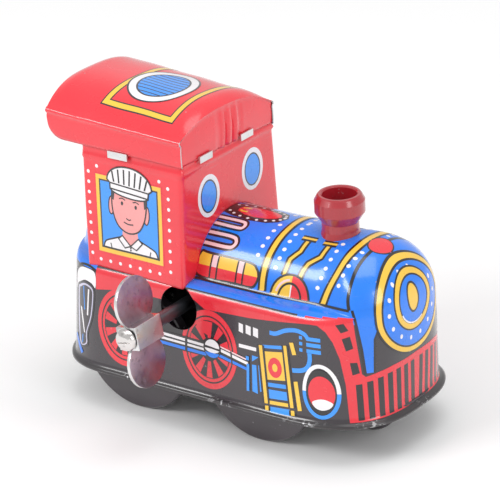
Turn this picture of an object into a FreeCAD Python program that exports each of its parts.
import FreeCAD, Part
import math
import os
import Sketcher

# A tin clockwork locomotive, in millimetres.
# +X is forward, +Z is up, Y = 0 is the mid-plane and the key stands out towards -Y.
# Z = 0 is the ground under the wheels.

doc = FreeCAD.newDocument("clockwork_locomotive")
sheet = doc.addObject("Spreadsheet::Sheet", "Sizes")

DRIVING_SIZES = {
    # tin plate
    "gauge": 0.4,
    "fit_gap": 0.05,
    # body shell: plan at the rim and at the shoulder
    "rim_height": 9.4,
    "rim_flare": 0.9,
    "rim_depth": 1.1,
    "skirt_half": 20.3,
    "skirt_front": 45.4,
    "skirt_rear": 40.2,
    "shoulder_height": 33.2,
    "shoulder_half": 18.5,
    "shoulder_front": 45.8,
    "shoulder_rear": 38.8,
    "shoulder_round": 2.6,
    "rear_corner": 15.5,
    "nose_corner": 15.5,
    "nose_sweep": 28.0,
    # boiler
    "boiler_radius": 14.0,
    "boiler_axis": 30.8,
    "boiler_rear": 38.4,
    "boiler_rear_round": 8.5,
    "boiler_nose": 46.6,
    "boiler_nose_corner": 10.5,
    "boiler_nose_sweep": 24.0,
    "keyhole_radius": 4.8,
    # cab and roof
    "cab_rear": 28.9,
    "cab_front": 2.1,
    "cab_half": 16.6,
    "cab_top": 60.4,
    "cab_corner": 2.5,
    "roof_rear": 37.3,
    "roof_front": 1.5,
    "roof_half": 17.2,
    "roof_edge": 59.2,
    "eave_height": 64.8,
    "roof_arch": 24.5,
    "roof_corner": 1.2,
    # chimney
    "chimney_place": 26.4,
    "chimney_foot": 43.9,
    "chimney_top": 53.5,
    "chimney_base_radius": 4.0,
    "chimney_cup_radius": 5.4,
    "chimney_lip_radius": 4.8,
    "chimney_bore_radius": 3.7,
    "chimney_bore_depth": 6.0,
    "rivet_radius": 1.2,
    # base plate
    "base_height": 9.9,
    "base_gauge": 0.5,
    "base_gap": 0.5,
    # running gear
    "wheel_radius": 14.5,
    "wheel_face": 16.6,
    "wheel_width": 2.4,
    "wheel_sheet": 0.6,
    "hub_radius": 2.4,
    "hub_length": 3.4,
    "axle_radius": 1.0,
    "axle_overhang": 0.7,
    "rear_axle_place": 18.0,
    "front_axle_place": 14.5,
    "axle_height": 14.5,
    "guide_place": 31.5,
    "guide_radius": 8.2,
    "guide_width": 2.2,
    "guide_ear": 2.2,
    "bracket_half": 11.0,
    "bracket_width": 6.0,
    "bracket_gauge": 0.6,
    # clockwork movement
    "arbor_place": 3.5,
    "arbor_height": 27.8,
    "arbor_radius": 1.5,
    "pivot_radius": 1.2,
    "plate_half": 7.0,
    "plate_gauge": 0.8,
    "post_radius": 1.2,
    "gear_module": 0.5,
    "gear_gauge": 0.8,
    "pinion_length": 2.0,
    "mesh_spread": 0.1,
    "great_teeth": 36,
    "second_teeth": 30,
    "pinion_teeth": 10,
    "great_layer": 5.2,
    "second_layer": 5.0,
    "ratchet_layer": 4.3,
    "ratchet_teeth": 14,
    "ratchet_radius": 4.4,
    "ratchet_depth": 0.9,
    "spring_inner": 1.65,
    "spring_outer": 9.0,
    "spring_strip": 0.25,
    "spring_turns": 8,
    "spring_low": -3.3,
    "spring_high": 4.1,
    # key
    "key_end": 37.0,
    "key_tilt": 10.0,
    "wing_place": 32.3,
    "wing_reach": 6.7,
    "wing_radius": 5.6,
    "wing_waist": 3.9,
    "wing_sheet": 0.8,
    "strap_half": 2.6,
    "strap_length": 8.6,
    "strap_sheet": 0.6,
    "head_radius": 2.5,
    "head_height": 1.4,
}


class Size:
    """A length that also carries the spreadsheet formula it comes from."""

    def __init__(self, value, formula):
        self.value = float(value)
        self.formula = formula

    @staticmethod
    def lift(thing):
        if isinstance(thing, Size):
            return thing
        return Size(thing, "(%.6g)" % thing)

    def join(self, other, value, sign):
        return Size(value, "(%s %s %s)" % (self.formula, sign, other.formula))

    def __add__(self, other):
        other = Size.lift(other)
        return self.join(other, self.value + other.value, "+")

    def __radd__(self, other):
        return Size.lift(other) + self

    def __sub__(self, other):
        other = Size.lift(other)
        return self.join(other, self.value - other.value, "-")

    def __rsub__(self, other):
        return Size.lift(other) - self

    def __mul__(self, other):
        other = Size.lift(other)
        return self.join(other, self.value * other.value, "*")

    def __rmul__(self, other):
        return Size.lift(other) * self

    def __truediv__(self, other):
        other = Size.lift(other)
        return self.join(other, self.value / other.value, "/")

    def __neg__(self):
        return Size(-self.value, "(0 - %s)" % self.formula)

    def root(self):
        return Size(math.sqrt(self.value), "sqrt(%s)" % self.formula)

    def near_zero(self):
        return abs(self.value) < 1e-9


class Sizes:
    """The spreadsheet's driving sizes, one attribute for each alias."""

    def __init__(self):
        for row, (alias, value) in enumerate(DRIVING_SIZES.items(), start=1):
            sheet.set("A%d" % row, alias)
            sheet.set("B%d" % row, "%g" % value)
            sheet.setAlias("B%d" % row, alias)
            setattr(self, alias, Size(value, "Sizes.%s" % alias))


S = Sizes()
doc.recompute()
exported = []


# ---------------------------------------------------------------- sketches

def new_body(label, place=(0, 0, 0), turn=0.0):
    """A body standing at `place`, turned by `turn` degrees from +X towards +Z."""
    body = doc.addObject("PartDesign::Body", label)
    body.Label = label
    body.Placement = FreeCAD.Placement(
        FreeCAD.Vector(), FreeCAD.Rotation(FreeCAD.Vector(0, -1, 0), turn))
    for axis, size in zip("xyz", place):
        body.setExpression("Placement.Base.%s" % axis, Size.lift(size).formula)
    exported.append(body)
    return body


def new_sketch(body, plane, offset=0):
    """A sketch on one of the body's own origin planes, lifted along its normal."""
    sketch = body.newObject("Sketcher::SketchObject", body.Label + "_sketch")
    origin_plane = [f for f in body.Origin.OriginFeatures if f.Role == plane][0]
    sketch.AttachmentSupport = [(origin_plane, "")]
    sketch.MapMode = "FlatFace"
    offset = Size.lift(offset)
    sketch.AttachmentOffset = FreeCAD.Placement(
        FreeCAD.Vector(0, 0, offset.value), FreeCAD.Rotation())
    if not offset.near_zero():
        sketch.setExpression("AttachmentOffset.Base.z", offset.formula)
    return sketch


def pin_point(sketch, geometry, position, x, y):
    """Fix a point of the sketch at (x, y) by two dimensions bound to the sheet."""
    for kind, size, axis in (("DistanceX", x, -2), ("DistanceY", y, -1)):
        if size.near_zero():
            sketch.addConstraint(
                Sketcher.Constraint("PointOnObject", geometry, position, axis))
            continue
        index = sketch.addConstraint(
            Sketcher.Constraint(kind, -1, 1, geometry, position, size.value))
        sketch.setExpression("Constraints[%d]" % index, size.formula)


def bind_radius(sketch, geometry, radius):
    index = sketch.addConstraint(Sketcher.Constraint("Radius", geometry, radius.value))
    sketch.setExpression("Constraints[%d]" % index, radius.formula)


def add_circle(sketch, x, y, radius):
    x, y, radius = Size.lift(x), Size.lift(y), Size.lift(radius)
    centre = FreeCAD.Vector(x.value, y.value, 0)
    circle = sketch.addGeometry(
        Part.Circle(centre, FreeCAD.Vector(0, 0, 1), radius.value), False)
    bind_radius(sketch, circle, radius)
    pin_point(sketch, circle, 3, x, y)


def arc_between(start, end, radius):
    """The shorter arc from start to end: anticlockwise for a positive radius."""
    chord = end - start
    middle = (start + end) * 0.5
    rise = math.sqrt(max(radius * radius - chord.Length ** 2 / 4, 0))
    left = FreeCAD.Vector(-chord.y, chord.x, 0).normalize()
    centre = middle + left * (rise if radius > 0 else -rise)
    first, last = (start, end) if radius > 0 else (end, start)
    angles = [math.atan2(p.y - centre.y, p.x - centre.x) for p in (first, last)]
    circle = Part.Circle(centre, FreeCAD.Vector(0, 0, 1), abs(radius))
    return Part.ArcOfCircle(circle, angles[0], angles[1])


def add_outline(sketch, corners):
    """A closed outline. A corner is (x, y), or (x, y, r) when an arc of radius r
    leads from it to the next corner, anticlockwise for r > 0."""
    count = len(corners)
    sizes = [(Size.lift(c[0]), Size.lift(c[1])) for c in corners]
    points = [FreeCAD.Vector(x.value, y.value, 0) for x, y in sizes]
    ends = []
    for i, corner in enumerate(corners):
        start, end = points[i], points[(i + 1) % count]
        if len(corner) == 2:
            edge = sketch.addGeometry(Part.LineSegment(start, end), False)
            ends.append((edge, 1, 2))
            continue
        radius = Size.lift(corner[2])
        edge = sketch.addGeometry(arc_between(start, end, radius.value), False)
        ends.append((edge, 1, 2) if radius.value > 0 else (edge, 2, 1))
        bind_radius(sketch, edge, radius if radius.value > 0 else -radius)
    for i in range(count):
        edge, _, last = ends[i]
        following, first, _ = ends[(i + 1) % count]
        sketch.addConstraint(Sketcher.Constraint("Coincident", edge, last, following, first))
    for i, (x, y) in enumerate(sizes):
        pin_point(sketch, ends[i][0], ends[i][1], x, y)


def add_box(sketch, low_x, high_x, low_y, high_y):
    add_outline(sketch, [(low_x, low_y), (high_x, low_y), (high_x, high_y), (low_x, high_y)])


def outline_sketch(body, plane, corners, offset=0):
    sketch = new_sketch(body, plane, offset)
    add_outline(sketch, corners)
    return sketch


def circle_sketch(body, plane, circles, offset=0):
    sketch = new_sketch(body, plane, offset)
    for x, y, radius in circles:
        add_circle(sketch, x, y, radius)
    return sketch


# ---------------------------------------------------------------- features

def pad(body, sketch, length, backwards=False):
    feature = body.newObject("PartDesign::Pad", body.Label + "_pad")
    feature.Profile = sketch
    feature.Reversed = backwards
    feature.setExpression("Length", Size.lift(length).formula)
    doc.recompute()
    return feature


def pocket(body, sketch, length, backwards=False):
    """Cut against the sketch's normal, or along it when backwards is set."""
    before = body.Shape.Volume
    feature = body.newObject("PartDesign::Pocket", body.Label + "_pocket")
    feature.Profile = sketch
    feature.Reversed = backwards
    feature.setExpression("Length", Size.lift(length).formula)
    doc.recompute()
    if body.Shape.Volume > before - 1e-4:
        raise ValueError(body.Label + ": a pocket cuts nothing")
    return feature


def turn(body, sketch, axis, cutting=False):
    """A full turn of the profile about one of its sketch axes."""
    before = body.Shape.Volume if cutting else 0
    kind = "Groove" if cutting else "Revolution"
    feature = body.newObject("PartDesign::" + kind, body.Label + "_" + kind.lower())
    feature.Profile = sketch
    feature.ReferenceAxis = (sketch, [axis])
    feature.Angle = 360.0
    doc.recompute()
    if cutting and body.Shape.Volume > before - 1e-4:
        raise ValueError(body.Label + ": a groove cuts nothing")
    return feature


def loft(body, sections, cutting=False):
    kind = "SubtractiveLoft" if cutting else "AdditiveLoft"
    feature = body.newObject("PartDesign::" + kind, body.Label + "_loft")
    feature.Profile = sections[0]
    feature.Sections = sections[1:]
    feature.Ruled = True
    doc.recompute()
    return feature


def ring_pattern(body, features, axis_sketch, count):
    """Repeat features round the normal of a sketch that lies across the axis."""
    pattern = body.newObject("PartDesign::PolarPattern", body.Label + "_pattern")
    pattern.Originals = features
    pattern.Axis = (axis_sketch, ["N_Axis"])
    pattern.Angle = 360.0
    pattern.setExpression("Occurrences", count.formula)
    body.Tip = pattern
    doc.recompute()
    return pattern


def new_group(label, solids):
    """Separate equal solids that share one node."""
    feature = doc.addObject("Part::Feature", label)
    feature.Label = label
    feature.Shape = solids[0] if len(solids) == 1 else Part.makeCompound(solids)
    exported.append(feature)
    return feature


def box_solid(low, high):
    size = [b - a for a, b in zip(low, high)]
    return Part.makeBox(size[0], size[1], size[2], FreeCAD.Vector(*low))


# ---------------------------------------------------------------- body shell

def plan_corners(half, front, rear, inset=0):
    """Plan of the body: straight back and sides, a nose of three tangent arcs."""
    half, front, rear = half - inset, front - inset, rear - inset
    back, corner, sweep = S.rear_corner - inset, S.nose_corner - inset, S.nose_sweep - inset
    sweep_centre = front - sweep
    spread = sweep - corner
    run = (spread * spread - (half - corner) * (half - corner)).root()
    corner_x = sweep_centre + run
    touch_x = sweep_centre + sweep * run / spread
    touch_y = sweep * (half - corner) / spread
    return [(-rear, half - back), (-rear, back - half, back), (back - rear, -half),
            (corner_x, -half, corner), (touch_x, -touch_y, sweep),
            (touch_x, touch_y, corner), (corner_x, half), (back - rear, half, back)]


def boiler_profile(inset=0):
    """Half profile of the boiler above its own axis, domed at both ends."""
    radius, rear, nose = S.boiler_radius - inset, S.boiler_rear - inset, S.boiler_nose - inset
    back = S.boiler_rear_round - inset
    corner, sweep = S.boiler_nose_corner - inset, S.boiler_nose_sweep - inset
    spread = sweep - corner
    run = (spread * spread - (radius - corner) * (radius - corner)).root()
    corner_x = nose - sweep + run
    touch_x = nose - sweep + sweep * run / spread
    touch_y = sweep * (radius - corner) / spread
    axis = S.boiler_axis
    return [(-rear, axis), (nose, axis, sweep), (touch_x, axis + touch_y, corner),
            (corner_x, axis + radius), (back - rear, axis + radius, back),
            (-rear, axis + radius - back)]


def boiler_turn(body, inset=0, cutting=False):
    """Turn the boiler profile about its axis, which is the profile's own lower edge."""
    sketch = outline_sketch(body, "XZ_Plane", boiler_profile(inset))
    axis = sketch.addGeometry(Part.LineSegment(
        FreeCAD.Vector(-10, S.boiler_axis.value, 0),
        FreeCAD.Vector(10, S.boiler_axis.value, 0)), True)
    pin_point(sketch, axis, 1, Size.lift(-10), S.boiler_axis)
    pin_point(sketch, axis, 2, Size.lift(10), S.boiler_axis)
    return turn(body, sketch, "Axis0", cutting)


def plan_loft(body, levels, cutting=False):
    """A ruled solid through plans at several heights: (z, half, front, rear, inset)."""
    return loft(body, [outline_sketch(body, "XY_Plane", plan_corners(*plan), z)
                       for z, *plan in levels], cutting)


def shell_levels(foot, gauge):
    """Plans from the foot of the skirt to the flat ledge, round the shoulder."""
    skirt = (S.skirt_half, S.skirt_front, S.skirt_rear)
    shoulder = (S.shoulder_half, S.shoulder_front, S.shoulder_rear)
    levels = [(foot, *skirt, gauge)]
    bend = S.shoulder_height - S.shoulder_round
    radius = S.shoulder_round - gauge
    for degrees in (0, 30, 60, 90):
        angle = math.radians(degrees)
        inset = gauge + radius * (1 - math.cos(angle))
        levels.append((bend + radius * math.sin(angle), *shoulder, inset))
    return levels


def make_body_shell():
    """One pressing: running board, skirt with a rolled rim, boiler and nose."""
    body = new_body("body_shell")
    skirt = (S.skirt_half, S.skirt_front, S.skirt_rear)
    plan_loft(body, shell_levels(S.rim_height, Size.lift(0)))
    boiler_turn(body)
    rim, flare, depth = S.rim_height, S.rim_flare, S.rim_depth
    plan_loft(body, [(rim, *skirt, -0.6 * flare), (rim + 0.3 * depth, *skirt, -flare),
                     (rim + 0.7 * depth, *skirt, -flare), (rim + depth, *skirt, -0.5 * flare)])
    plan_loft(body, shell_levels(rim, S.gauge), cutting=True)
    boiler_turn(body, S.gauge, cutting=True)
    keyhole = circle_sketch(body, "XZ_Plane",
                            [(-S.arbor_place, S.arbor_height, S.keyhole_radius)], 10)
    pocket(body, keyhole, 20, backwards=True)
    rivet_hole = circle_sketch(body, "XY_Plane", [(S.chimney_place, 0, S.rivet_radius)],
                               S.chimney_top)
    pocket(body, rivet_hole, S.chimney_top - S.boiler_axis)


# ---------------------------------------------------------------- cab, roof, chimney

def rounded_box(low_x, high_x, half_y, radius):
    """A rounded rectangle about the X axis, anticlockwise."""
    return [(low_x, half_y - radius), (low_x, radius - half_y, radius),
            (low_x + radius, -half_y), (high_x - radius, -half_y, radius),
            (high_x, radius - half_y), (high_x, half_y - radius, radius),
            (high_x - radius, half_y), (low_x + radius, half_y, radius)]


def make_cab():
    """Four cab walls folded from one strip, cut out over the boiler front and back."""
    body = new_body("cab_walls")
    sketch = new_sketch(body, "XY_Plane", S.shoulder_height)
    add_outline(sketch, rounded_box(-S.cab_rear, -S.cab_front, S.cab_half, S.cab_corner))
    add_outline(sketch, rounded_box(S.gauge - S.cab_rear, -S.cab_front - S.gauge,
                                    S.cab_half - S.gauge, S.cab_corner - S.gauge))
    pad(body, sketch, S.cab_top - S.shoulder_height)
    saddle = circle_sketch(body, "YZ_Plane",
                           [(0, S.boiler_axis, S.boiler_radius + S.fit_gap)], -60)
    pocket(body, saddle, 80, backwards=True)


def roof_section(inset=0, foot=0):
    """Cross-section of the roof: upright flanges under a flat arch."""
    half = S.roof_half - inset
    corner = S.roof_corner
    low = S.roof_edge - foot
    high = S.eave_height - inset
    return [(-half, low), (half, low), (half, high - corner, corner),
            (half - corner, high, S.roof_arch - inset), (corner - half, high, corner),
            (-half, high - corner)]


def make_roof():
    body = new_body("roof")
    length = S.roof_rear - S.roof_front
    pad(body, outline_sketch(body, "YZ_Plane", roof_section(), -S.roof_rear), length)
    inside = outline_sketch(body, "YZ_Plane", roof_section(S.gauge, 1), S.gauge - S.roof_rear)
    pocket(body, inside, length - 2 * S.gauge, backwards=True)


def make_chimney():
    """A turned chimney: a foot cut to the boiler, a waist and a cup with a chamfered lip."""
    body = new_body("chimney", (S.chimney_place, 0, 0))
    cup, base, lip = S.chimney_cup_radius, S.chimney_base_radius, S.chimney_lip_radius
    top, bore = S.chimney_top, S.chimney_bore_radius
    floor = top - S.chimney_bore_depth
    profile = outline_sketch(body, "XZ_Plane", [
        (S.rivet_radius, S.chimney_foot - 1), (base + 0.6, S.chimney_foot - 1),
        (base, S.chimney_foot + 1.6), (base, top - 6.2), (cup, top - 4),
        (cup, top - 1.4), (lip, top - 0.3), (lip - 0.3, top), (bore + 0.3, top),
        (bore, top - 0.3), (bore, floor), (S.rivet_radius, floor)])
    turn(body, profile, "V_Axis")
    saddle = circle_sketch(body, "YZ_Plane", [(0, S.boiler_axis, S.boiler_radius)], -10)
    pocket(body, saddle, 20, backwards=True)


def make_chimney_rivet():
    """The tubular rivet that holds the chimney, headed in the cup and under the boiler."""
    body = new_body("chimney_rivet", (S.chimney_place, 0, 0))
    floor = S.chimney_top - S.chimney_bore_depth
    under = S.boiler_axis + S.boiler_radius - S.gauge
    head = S.rivet_radius + 1.1
    profile = outline_sketch(body, "XZ_Plane", [
        (0, under - 0.7), (head - 0.3, under - 0.7), (head, under - 0.2),
        (S.rivet_radius, under - 0.2), (S.rivet_radius, floor),
        (head, floor), (head - 0.4, floor + 0.7), (0, floor + 0.7)])
    turn(body, profile, "V_Axis")


def make_tabs():
    """Bare tin tabs: roof seam, cab foot and the rim tabs under the base plate."""
    gauge, seam = S.gauge.value, S.roof_edge.value
    side, front = S.roof_half.value, -S.roof_front.value
    lip = seam - 0.5
    roof_tabs = []
    for sign in (-1, 1):
        faces = sorted((sign * side, sign * (side + gauge)))
        roof_tabs.append(box_solid((-20.9, faces[0], lip), (-15.7, faces[1], seam + 1.1)))
    for middle in (-8.9, 5.9):
        roof_tabs.append(box_solid((front, middle - 2.2, lip), (front + gauge, middle + 2.2,
                                                                seam + 1.0)))
    new_group("roof_tabs", roof_tabs)

    inner = S.cab_half.value - gauge
    ledge_under = S.shoulder_height.value - gauge
    cab_tabs = []
    for low_x in (-26.0, -11.0):
        for sign in (-1, 1):
            faces = sorted((sign * (inner - 1.6), sign * inner))
            cab_tabs.append(box_solid((low_x, faces[0], ledge_under + gauge),
                                      (low_x + 4.0, faces[1], ledge_under + 2 * gauge)))
    new_group("cab_foot_tabs", cab_tabs)

    low, high = S.base_height.value - gauge, S.base_height.value
    bend_gap = 0.15
    back = gauge - S.skirt_rear.value + bend_gap
    middle, nose = (-3.4, -0.2, 19.4), (32.6, 35.8, 17.2)
    rim_tabs = [box_solid((back, y - 1.6, low), (back + 3.2, y + 1.6, high)) for y in (-2.6, 2.6)]
    for low_x, high_x, reach in (middle, nose):
        for sign in (-1, 1):
            faces = sorted((sign * (reach - 3.2), sign * reach))
            rim_tabs.append(box_solid((low_x, faces[0], low), (high_x, faces[1], high)))
    new_group("rim_tabs", rim_tabs)


# ---------------------------------------------------------------- base and running gear

RIVET_HOLES = ((11.8, 0), (17.2, 0))
GUIDE_HOLES = ((21.3, 0), (41.7, 0))


def make_base_plate():
    """Flat bottom of the shell, slotted for the five wheels and the movement's feet."""
    body = new_body("base_plate")
    base = outline_sketch(body, "XY_Plane", plan_corners(
        S.skirt_half, S.skirt_front, S.skirt_rear, S.gauge + S.base_gap), S.base_height)
    pad(body, base, S.base_gauge)
    slots = new_sketch(body, "XY_Plane", S.base_height + S.base_gauge)
    wheel_drop = S.axle_height - S.base_height
    reach = (S.wheel_radius * S.wheel_radius - wheel_drop * wheel_drop).root() + 0.6
    for axle in (-S.rear_axle_place, S.front_axle_place):
        inner, outer = S.wheel_face - S.wheel_width - 1.4, S.wheel_face + 0.6
        add_box(slots, axle - reach, axle + reach, inner, outer)
        add_box(slots, axle - reach, axle + reach, -outer, -inner)
    guide_reach = S.guide_radius + 0.2
    add_box(slots, S.guide_place - guide_reach, S.guide_place + guide_reach,
            -S.guide_ear - 0.6, S.guide_ear + 0.6)
    for x, y in RIVET_HOLES + GUIDE_HOLES:
        add_circle(slots, x, y, 0.8)
    pocket(body, slots, 1)


def make_wheel(label, axle_place, side):
    """A pressed tin disc with a turned-in tread and a bushed hub."""
    body = new_body(label, (axle_place, 0, S.axle_height))
    face, width, sheet_t = side * S.wheel_face, side * S.wheel_width, side * S.wheel_sheet
    radius, tread = S.wheel_radius, S.wheel_radius - S.wheel_sheet
    hub = side * S.hub_length
    raised = side * 0.35
    profile = outline_sketch(body, "XY_Plane", [
        (S.axle_radius, face + raised), (S.hub_radius, face + raised), (S.hub_radius + 0.5, face),
        (radius - 0.3, face), (radius, face - side * 0.3), (radius, face - width),
        (tread, face - width), (tread, face - sheet_t), (S.hub_radius, face - sheet_t),
        (S.hub_radius, face - hub), (S.axle_radius, face - hub)])
    turn(body, profile, "V_Axis")


def make_axle(label, place, half_length):
    body = new_body(label, (place, 0, S.axle_height))
    profile = outline_sketch(body, "XY_Plane", [
        (0, -half_length), (S.axle_radius - 0.3, -half_length), (S.axle_radius, 0.3 - half_length),
        (S.axle_radius, half_length - 0.3), (S.axle_radius - 0.3, half_length), (0, half_length)])
    turn(body, profile, "V_Axis")


def make_axle_bracket():
    """A U strap on the base plate whose two ears carry the front axle."""
    body = new_body("front_axle_bracket", (S.front_axle_place, 0, 0))
    low = S.base_height + S.base_gauge
    half, sheet_t = S.bracket_half, S.bracket_gauge
    top = S.axle_height + 3
    section = [(-half, low), (half, low), (half, top), (half - sheet_t, top),
               (half - sheet_t, low + sheet_t), (sheet_t - half, low + sheet_t),
               (sheet_t - half, top), (-half, top)]
    strap = outline_sketch(body, "YZ_Plane", section, -S.bracket_width / 2)
    pad(body, strap, S.bracket_width)
    bore = circle_sketch(body, "XZ_Plane", [(0, S.axle_height, S.axle_radius + S.fit_gap)], -30)
    pocket(body, bore, 60, backwards=True)
    holes = circle_sketch(body, "XY_Plane", [
        (x - S.front_axle_place, y, 0.8) for x, y in RIVET_HOLES], S.axle_height)
    pocket(body, holes, 10)


def make_guide_bracket():
    """A slotted plate under the nose with two ears bent down beside the guide wheel."""
    body = new_body("guide_bracket", (S.guide_place, 0, 0))
    top, sheet_t = S.base_height, S.bracket_gauge
    inner = S.guide_ear
    plate = new_sketch(body, "XY_Plane", top - sheet_t)
    add_box(plate, -11.6, 11.6, -inner - 2.2, inner + 2.2)
    add_box(plate, -8.6, 8.6, -inner, inner)
    pad(body, plate, sheet_t)
    ears = new_sketch(body, "XY_Plane", top)
    add_box(ears, -2.6, 2.6, inner, inner + sheet_t)
    pad(body, ears, top - S.guide_radius + 2.4, backwards=True)
    second = new_sketch(body, "XY_Plane", top)
    add_box(second, -2.6, 2.6, -inner - sheet_t, -inner)
    pad(body, second, top - S.guide_radius + 2.4, backwards=True)
    bore = circle_sketch(body, "XZ_Plane", [(0, S.guide_radius, 0.7)], -10)
    pocket(body, bore, 20, backwards=True)
    holes = circle_sketch(body, "XY_Plane", [
        (x - S.guide_place, y, 0.8) for x, y in GUIDE_HOLES], top)
    pocket(body, holes, 2)


def make_guide_wheel():
    body = new_body("guide_wheel", (S.guide_place, 0, S.guide_radius))
    half, bore = S.guide_width / 2, 0.7 + S.fit_gap
    radius = S.guide_radius
    profile = outline_sketch(body, "XY_Plane", [
        (bore, -half - 0.5), (1.8, -half - 0.5), (1.8, -half), (radius - 0.4, -half),
        (radius, 0.4 - half), (radius, half - 0.4), (radius - 0.4, half), (1.8, half),
        (1.8, half + 0.5), (bore, half + 0.5)])
    turn(body, profile, "V_Axis")


def make_guide_pin():
    body = new_body("guide_pin", (S.guide_place, 0, S.guide_radius))
    end = S.guide_ear + S.bracket_gauge
    profile = outline_sketch(body, "XY_Plane", [
        (0, -end - 0.5), (0.8, -end - 0.5), (1.0, -end), (0.7, -end), (0.7, end),
        (1.0, end), (0.8, end + 0.5), (0, end + 0.5)])
    turn(body, profile, "V_Axis")


def rivet_solid(x, y, low, high):
    """A solid rivet with a flat head at each end of its grip."""
    rivet = Part.makeCylinder(0.8, high - low, FreeCAD.Vector(x, y, low))
    for z, step in ((low, -1), (high, 1)):
        head = Part.makeCone(1.7, 1.1, 0.6, FreeCAD.Vector(x, y, z), FreeCAD.Vector(0, 0, step))
        rivet = rivet.fuse(head)
    return rivet.removeSplitter()


def make_rivets():
    plate_low, plate_high = S.base_height.value, S.base_height.value + S.base_gauge.value
    strap = S.bracket_gauge.value
    new_group("axle_bracket_rivets", [
        rivet_solid(x, y, plate_low, plate_high + strap) for x, y in RIVET_HOLES])
    new_group("guide_bracket_rivets", [
        rivet_solid(x, y, plate_low - strap, plate_high) for x, y in GUIDE_HOLES])


# ---------------------------------------------------------------- movement

def gear_places():
    """Axis places (x, z) of the great, second and drive arbors, and the two mesh angles."""
    great = (-S.arbor_place.value, S.arbor_height.value)
    drive = (-S.rear_axle_place.value, S.axle_height.value)
    half_module = S.gear_module.value / 2
    first = half_module * (S.great_teeth.value + S.pinion_teeth.value) + S.mesh_spread.value
    last = half_module * (S.second_teeth.value + S.pinion_teeth.value) + S.mesh_spread.value
    dx, dz = drive[0] - great[0], drive[1] - great[1]
    span = math.hypot(dx, dz)
    along = (first ** 2 - last ** 2 + span ** 2) / (2 * span)
    aside = math.sqrt(first ** 2 - along ** 2)
    second = (great[0] + (along * dx + aside * dz) / span,
              great[1] + (along * dz - aside * dx) / span)
    to_second = math.degrees(math.atan2(second[1] - great[1], second[0] - great[0]))
    to_drive = math.degrees(math.atan2(drive[1] - second[1], drive[0] - second[0]))
    return second, to_second, to_drive


SECOND_PLACE, TO_SECOND, TO_DRIVE = gear_places()


def make_gear(label, place, teeth, middle, width, bore, phase):
    """A spur gear: a disc with one tapered tooth repeated round it."""
    body = new_body(label, (place[0], 0, place[1]), phase)
    pitch_radius = S.gear_module * teeth / 2
    root_radius = pitch_radius - S.gear_module * 1.3
    tip_radius = pitch_radius + S.gear_module * 0.86
    start = -middle - width / 2
    blank = new_sketch(body, "XZ_Plane", start)
    add_circle(blank, 0, 0, root_radius)
    add_circle(blank, 0, 0, bore)
    pad(body, blank, width)
    foot, tip = S.gear_module * 0.86, S.gear_module * 0.36
    tooth_sketch = outline_sketch(body, "XZ_Plane", [
        (root_radius - 0.35, -foot), (root_radius, -foot), (pitch_radius, -foot * 0.74),
        (tip_radius, -tip), (tip_radius, tip), (pitch_radius, foot * 0.74),
        (root_radius, foot), (root_radius - 0.35, foot)], start)
    tooth = pad(body, tooth_sketch, width)
    ring_pattern(body, [tooth], tooth_sketch, teeth)


def make_movement_plate(label, side):
    """A side plate of the movement with its bearing holes."""
    body = new_body(label)
    foot = S.base_height + S.base_gauge
    outline = [(-25.4, foot), (6.8, foot), (8.0, 24.0), (8.0, 35.0, 3.0), (5.0, 38.0),
               (-14.0, 38.0), (-24.4, 33.0), (-25.4, 28.0)]
    start = side * S.plate_half - S.plate_gauge / 2
    sketch = outline_sketch(body, "XZ_Plane", outline, start)
    pivot, gap = S.pivot_radius, S.fit_gap
    add_circle(sketch, -S.arbor_place, S.arbor_height, pivot + gap)
    add_circle(sketch, -S.rear_axle_place, S.axle_height, S.axle_radius + gap)
    add_circle(sketch, SECOND_PLACE[0], SECOND_PLACE[1], 0.7 + gap)
    for x, z in POSTS:
        add_circle(sketch, x, z, 0.8)
    pad(body, sketch, S.plate_gauge)


POSTS = ((5.4, 35.0), (4.4, 12.8), (-23.2, 12.2), (-22.0, 31.6))


def make_posts():
    """Four shouldered posts, riveted over outside the two plates."""
    inner = S.plate_half.value - S.plate_gauge.value / 2
    outer = S.plate_half.value + S.plate_gauge.value / 2
    towards_left = FreeCAD.Vector(0, 1, 0)
    posts = []
    for x, z in POSTS:
        post = Part.makeCylinder(S.post_radius.value, 2 * inner,
                                 FreeCAD.Vector(x, -inner, z), towards_left)
        pin = Part.makeCylinder(0.8, 2 * outer, FreeCAD.Vector(x, -outer, z), towards_left)
        post = post.fuse(pin)
        for y, step in ((-outer, -1), (outer, 1)):
            post = post.fuse(Part.makeCone(1.3, 0.9, 0.5, FreeCAD.Vector(x, y, z),
                                           FreeCAD.Vector(0, step, 0)))
        posts.append(post.removeSplitter())
    new_group("frame_posts", posts)


def make_second_arbor():
    body = new_body("second_arbor", (SECOND_PLACE[0], 0, SECOND_PLACE[1]))
    inner = S.plate_half - S.plate_gauge / 2 - 0.1
    outer = S.plate_half + S.plate_gauge / 2 + 0.4
    profile = outline_sketch(body, "XY_Plane", [
        (0, -outer), (0.7, -outer), (0.7, -inner), (1.0, -inner), (1.0, inner),
        (0.7, inner), (0.7, outer), (0, outer)])
    turn(body, profile, "V_Axis")


def make_winding_arbor():
    """The arbor that the key turns: pivots in both plates, body under the spring."""
    body = new_body("winding_arbor", (-S.arbor_place, 0, S.arbor_height))
    inner = S.plate_half - S.plate_gauge / 2 - 0.1
    outer = S.plate_half + S.plate_gauge / 2
    key_end = S.key_end
    profile = outline_sketch(body, "XY_Plane", [
        (0, -key_end), (S.arbor_radius, -key_end), (S.arbor_radius, -outer - 0.3),
        (S.pivot_radius, -outer - 0.3), (S.pivot_radius, -inner), (S.arbor_radius, -inner),
        (S.arbor_radius, inner), (S.pivot_radius, inner), (S.pivot_radius, outer + 0.6),
        (0, outer + 0.6)])
    turn(body, profile, "V_Axis")


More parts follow.
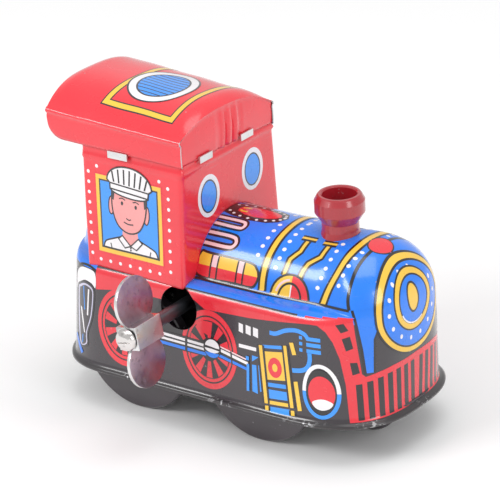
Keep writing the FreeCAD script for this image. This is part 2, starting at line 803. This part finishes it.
def make_ratchet():
    """Ratchet wheel on the arbor: saw teeth, steep on one side."""
    body = new_body("ratchet_wheel", (-S.arbor_place, 0, S.arbor_height))
    start = S.ratchet_layer - S.gear_gauge / 2
    root_radius = S.ratchet_radius - S.ratchet_depth
    blank = new_sketch(body, "XZ_Plane", start)
    add_circle(blank, 0, 0, root_radius)
    add_circle(blank, 0, 0, S.arbor_radius)
    pad(body, blank, S.gear_gauge)
    pitch = 2 * math.pi / DRIVING_SIZES["ratchet_teeth"]
    heel = root_radius * (0.9 * math.cos(pitch * 0.8))
    heel_rise = root_radius * (0.9 * math.sin(pitch * 0.8))
    tooth_sketch = outline_sketch(body, "XZ_Plane", [
        (root_radius * 0.9, 0), (S.ratchet_radius, 0), (S.ratchet_radius - 0.05, 0.35),
        (heel, heel_rise)], start)
    tooth = pad(body, tooth_sketch, S.gear_gauge)
    ring_pattern(body, [tooth], tooth_sketch, S.ratchet_teeth)


def make_click():
    """The click: a short lever on the great wheel whose nose rides on the ratchet."""
    body = new_body("click", (-S.arbor_place, 0, S.arbor_height))
    start = S.ratchet_layer - S.gear_gauge / 2
    nose = S.ratchet_radius + 0.1
    sketch = new_sketch(body, "XZ_Plane", start)
    add_outline(sketch, [
        (nose, -0.5), (nose + 0.9, -0.9), (7.0, 2.7), (8.0, 3.4, 1.0), (6.4, 4.6),
        (5.0, 1.6), (nose, 0.4)])
    add_circle(sketch, 7.1, 3.9, 0.5 + S.fit_gap)
    pad(body, sketch, S.gear_gauge)


def make_click_rivet():
    body = new_body("click_rivet", (-S.arbor_place, 0, S.arbor_height))
    shank = circle_sketch(body, "XZ_Plane", [(7.1, 3.9, 0.5)],
                          S.ratchet_layer - S.gear_gauge / 2 - 0.1)
    pad(body, shank, S.great_layer - S.ratchet_layer + 0.1)
    head = circle_sketch(body, "XZ_Plane", [(7.1, 3.9, 0.9)],
                         S.ratchet_layer - S.gear_gauge / 2 - 0.4)
    pad(body, head, 0.3)


def make_click_spring():
    """A thin strip curved round the great wheel's face that presses the click in."""
    body = new_body("click_spring", (-S.arbor_place, 0, S.arbor_height))
    start = S.ratchet_layer - S.gear_gauge / 2 + 0.1
    outer, inner = Size.lift(7.6), Size.lift(7.35)
    sketch = outline_sketch(body, "XZ_Plane", [
        (outer, -0.6), (inner, -0.6, -inner), (-0.6, -inner), (-0.6, -outer, outer)], start)
    pad(body, sketch, S.gear_gauge - 0.2)


def make_mainspring():
    """The mainspring: one long strip wound as a flat spiral round the arbor."""
    inner, outer = S.spring_inner.value, S.spring_outer.value
    strip, turns = S.spring_strip.value, S.spring_turns.value
    steps = int(turns * 12)

    def edge_points(offset):
        points = []
        for i in range(steps + 1):
            share = i / steps
            radius = inner + offset + (outer - inner - strip) * share
            angle = 2 * math.pi * turns * share
            points.append(FreeCAD.Vector(radius * math.cos(angle), 0, radius * math.sin(angle)))
        return points

    edges = []
    near, far = edge_points(0), edge_points(strip)
    for points in (near, far):
        curve = Part.BSplineCurve()
        curve.interpolate(points)
        edges.append(curve.toShape())
    edges.append(Part.LineSegment(near[0], far[0]).toShape())
    edges.append(Part.LineSegment(near[-1], far[-1]).toShape())
    face = Part.Face(Part.Wire(Part.__sortEdges__(edges)))
    height = S.spring_high.value - S.spring_low.value
    spring = face.extrude(FreeCAD.Vector(0, height, 0))
    feature = new_group("mainspring", [spring])
    feature.Placement.Base = FreeCAD.Vector(
        -S.arbor_place.value, S.spring_low.value, S.arbor_height.value)


# ---------------------------------------------------------------- key

def make_key_wings():
    """Two flat round wings of the key, in a plane through the arbor's axis."""
    body = new_body("key_wings", (-S.arbor_place, 0, S.arbor_height), S.key_tilt.value)
    middle, reach, radius, waist = -S.wing_place, S.wing_reach, S.wing_radius, S.wing_waist
    drop = (radius * radius - waist * waist).root()
    for side in (1, -1):
        neck = side * (reach - drop)
        foot = side * S.strap_half
        corners = [(middle - waist, foot), (middle + waist, foot), (middle + waist, neck, radius),
                   (middle + radius, side * reach, radius), (middle, side * (reach + radius), radius),
                   (middle - radius, side * reach, radius), (middle - waist, neck)]
        if side < 0:
            corners = [corner[:2] + (-radius,) if len(corner) == 3 else corner
                       for corner in corners]
        sketch = outline_sketch(body, "YZ_Plane", corners, -S.wing_sheet / 2)
        pad(body, sketch, S.wing_sheet)


def make_key_strap():
    """A square folded sleeve that carries both wings and grips the arbor."""
    body = new_body("key_strap", (-S.arbor_place, 0, S.arbor_height), S.key_tilt.value)
    half, sheet_t = S.strap_half, S.strap_sheet
    start = S.wing_place - S.strap_length / 2
    sleeve = new_sketch(body, "XZ_Plane", start)
    add_box(sleeve, -half, half, -half, half)
    add_box(sleeve, sheet_t - half, half - sheet_t, sheet_t - half, half - sheet_t)
    pad(body, sleeve, S.strap_length)
    cap = new_sketch(body, "XZ_Plane", start + S.strap_length - sheet_t)
    add_box(cap, -half, half, -half, half)
    add_circle(cap, 0, 0, S.arbor_radius)
    pad(body, cap, sheet_t)


def make_key_head():
    """The end of the arbor peened over the sleeve into a round slotted head."""
    body = new_body("key_head", (-S.arbor_place, -S.key_end, S.arbor_height),
                    S.key_tilt.value)
    radius, rise = S.head_radius, S.head_height
    profile = outline_sketch(body, "XY_Plane", [
        (0, 0), (0, -rise), (radius * 0.55, -rise * 0.86), (radius * 0.9, -rise * 0.5),
        (radius, 0)])
    turn(body, profile, "V_Axis")
    slot = new_sketch(body, "XZ_Plane", rise)
    add_box(slot, -radius, radius, -0.35, 0.35)
    pocket(body, slot, 0.5)


# ---------------------------------------------------------------- assembly

make_body_shell()
make_cab()
make_roof()
make_chimney()
make_chimney_rivet()
make_tabs()
make_base_plate()

make_axle("rear_axle", -S.rear_axle_place, S.wheel_face + S.axle_overhang)
make_axle("front_axle", S.front_axle_place, S.wheel_face + S.axle_overhang)
for axle_name, axle_x in (("rear", -S.rear_axle_place), ("front", S.front_axle_place)):
    make_wheel(axle_name + "_wheel_right", axle_x, -1)
    make_wheel(axle_name + "_wheel_left", axle_x, 1)
make_axle_bracket()
make_guide_bracket()
make_guide_wheel()
make_guide_pin()
make_rivets()

make_movement_plate("movement_plate_right", 1)
make_movement_plate("movement_plate_left", -1)
make_posts()
half_pitch = 180 / DRIVING_SIZES["pinion_teeth"]
great_axis = (-S.arbor_place, S.arbor_height)
drive_axis = (-S.rear_axle_place, S.axle_height)
make_gear("great_wheel", great_axis, S.great_teeth, -S.great_layer, S.gear_gauge,
          S.arbor_radius + S.fit_gap, TO_SECOND)
make_gear("second_pinion", SECOND_PLACE, S.pinion_teeth, -S.great_layer, S.pinion_length,
          Size.lift(1.0), TO_SECOND + 180 + half_pitch)
make_gear("second_wheel", SECOND_PLACE, S.second_teeth, S.second_layer, S.gear_gauge,
          Size.lift(1.0), TO_DRIVE)
make_gear("drive_pinion", drive_axis, S.pinion_teeth, S.second_layer, S.pinion_length,
          S.axle_radius, TO_DRIVE + 180 + half_pitch)
make_second_arbor()
make_winding_arbor()
make_ratchet()
make_click()
make_click_rivet()
make_click_spring()
make_mainspring()

make_key_wings()
make_key_strap()
make_key_head()

doc.recompute()

faults = [o.Label for o in doc.Objects if "Invalid" in o.State or "Error" in o.State]
faults += [o.Label for o in exported if o.Shape.isNull() or not o.Shape.isValid()]
if faults:
    raise ValueError("faulty objects: " + ", ".join(faults))

os.makedirs("parts", exist_ok=True)
for item in exported:
    item.Shape.exportStep("parts/%s.step" % item.Label)
print("sub-parts written:", len(exported))
